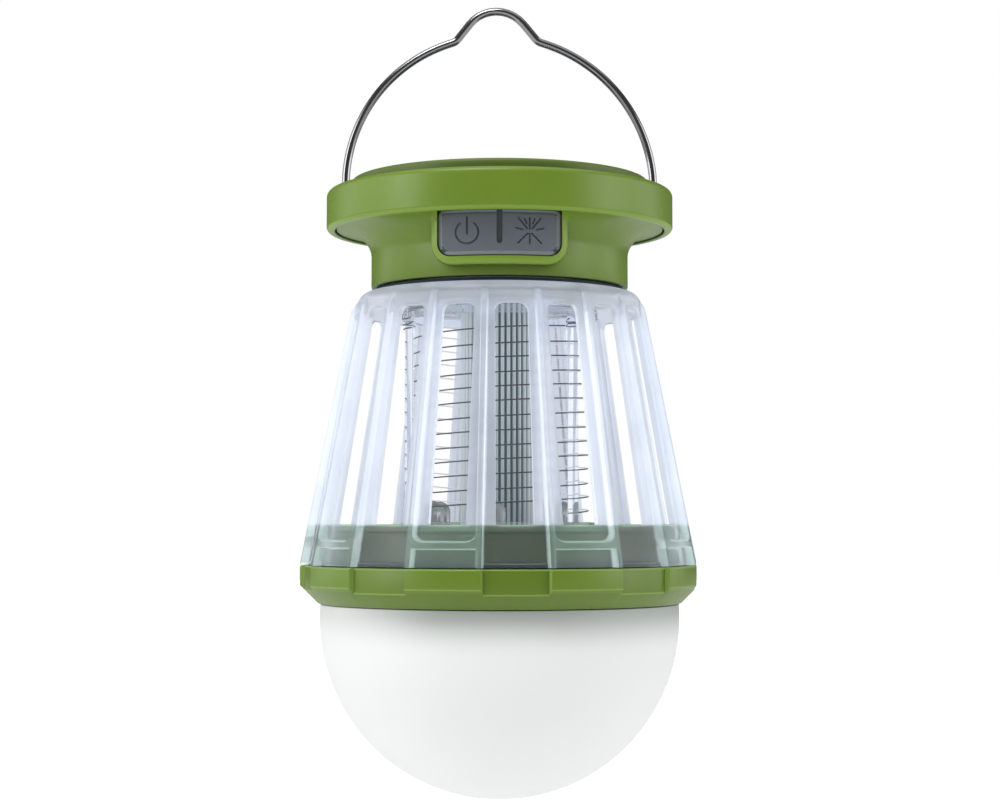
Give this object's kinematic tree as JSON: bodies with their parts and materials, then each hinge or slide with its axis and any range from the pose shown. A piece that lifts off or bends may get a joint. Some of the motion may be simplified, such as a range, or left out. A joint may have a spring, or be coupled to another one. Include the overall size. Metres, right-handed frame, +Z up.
{
  "type": "electric bug zapper lantern",
  "caption": "Hanging electric bug zapper with a finned clear cage, a wire grid inside, a green neck with two keys, a folding wire bail and a globe lamp below.",
  "frame": {"origin": "the lowest point of the globe, on the lantern's axis", "axes": "+Z up along the lantern's axis, -Y out through the two keys, the bail's pivots on the X direction"},
  "size_m": [0.0943, 0.0942, 0.1888],
  "materials": {
    "green_plastic": "satin moulded leaf green",
    "dark_green_plastic": "matt moulded dark green",
    "clear_plastic": "clear polycarbonate with a faint blue tint and a lightly frosted surface",
    "frosted_globe": "opal white, finely frosted",
    "grey_rubber": "matt silicone with engraved symbols",
    "dark_rubber": "matt",
    "steel_wire": "bright drawn wire",
    "screw_steel": "zinc plated",
    "white_plastic": "satin moulded white",
    "column_metal": "drawn, reeded",
    "led_epoxy": "clear epoxy",
    "circuit_board": "solder resist",
    "black_part": "moulded black",
    "solar_cell": "cells under clear resin",
    "battery_wrap": "shrink sleeve",
    "cable_jacket": "extruded",
    "contact_brass": "plated"
  },
  "bodies": {
    "housing": {"top_cover": "green_plastic", "solar_bezel": "dark_green_plastic", "solar_panel": "solar_cell", "neck_housing": "green_plastic", "power_switch": "black_part", "light_switch": "black_part", "switch_board": "circuit_board", "main_board": "circuit_board", "hv_transformer": "black_part", "hv_capacitor": "contact_brass", "battery_cell": "battery_wrap", "battery_cradle": "black_part", "usb_socket": "screw_steel", "neck_seal": "dark_rubber", "clamp_screw_1": "screw_steel", "clamp_screw_2": "screw_steel", "clamp_screw_3": "screw_steel", "clamp_screw_4": "screw_steel", "cage": "clear_plastic", "grid_frame": "clear_plastic", "grid_wire_live": "steel_wire", "grid_wire_ground": "steel_wire", "core_column": "column_metal", "core_cable": "cable_jacket", "uv_led_board": "circuit_board", "uv_led_1": "led_epoxy", "uv_led_2": "led_epoxy", "uv_led_3": "led_epoxy", "uv_led_4": "led_epoxy", "uv_led_5": "led_epoxy", "uv_led_6": "led_epoxy", "contact_pin_live": "contact_brass", "contact_pin_ground": "contact_brass"},
    "bail": {"bail": "steel_wire"},
    "power_key": {"power_key": "grey_rubber"},
    "light_key": {"light_key": "grey_rubber"},
    "usb_cover": {"usb_cover": "dark_green_plastic"},
    "base_seal": {"base_seal": "dark_rubber"},
    "base": {"base_ring": "green_plastic", "collection_tray": "white_plastic", "contact_board": "circuit_board", "lamp_cable": "cable_jacket", "lamp_board": "white_plastic", "lamp_led_1": "led_epoxy", "lamp_led_2": "led_epoxy", "lamp_led_3": "led_epoxy", "lamp_led_4": "led_epoxy", "lamp_led_5": "led_epoxy", "lamp_led_6": "led_epoxy", "lamp_reflector": "white_plastic", "base_screw_1": "screw_steel", "base_screw_2": "screw_steel", "base_screw_3": "screw_steel", "globe": "frosted_globe"}
  },
  "joints": [
    {"name": "bail_swing", "type": "hinge", "parent": "housing", "child": "bail", "pos_m": [0, 0, 0.14485], "axis": [1, 0, 0], "range_deg": [-90, 90]},
    {"name": "power_press", "type": "slide", "parent": "housing", "child": "power_key", "axis": [0, 1, 0], "range_m": [0, 0.001], "stiffness_N_per_m": 800},
    {"name": "light_press", "type": "slide", "parent": "housing", "child": "light_key", "axis": [0, 1, 0], "range_m": [0, 0.001], "stiffness_N_per_m": 800},
    {"name": "usb_cover_swing", "type": "hinge", "parent": "housing", "child": "usb_cover", "pos_m": [0, 0.0309, 0.1227], "axis": [-1, 0, 0], "range_deg": [0, 110]},
    {"name": "base_drop", "type": "slide", "parent": "housing", "child": "base_seal", "axis": [0, 0, -1], "range_m": [0, 0.03]},
    {"name": "base_twist", "type": "hinge", "parent": "base_seal", "child": "base", "pos_m": [0, 0, 0.0548], "axis": [0, 0, -1], "range_deg": [0, 20]}
  ]
}
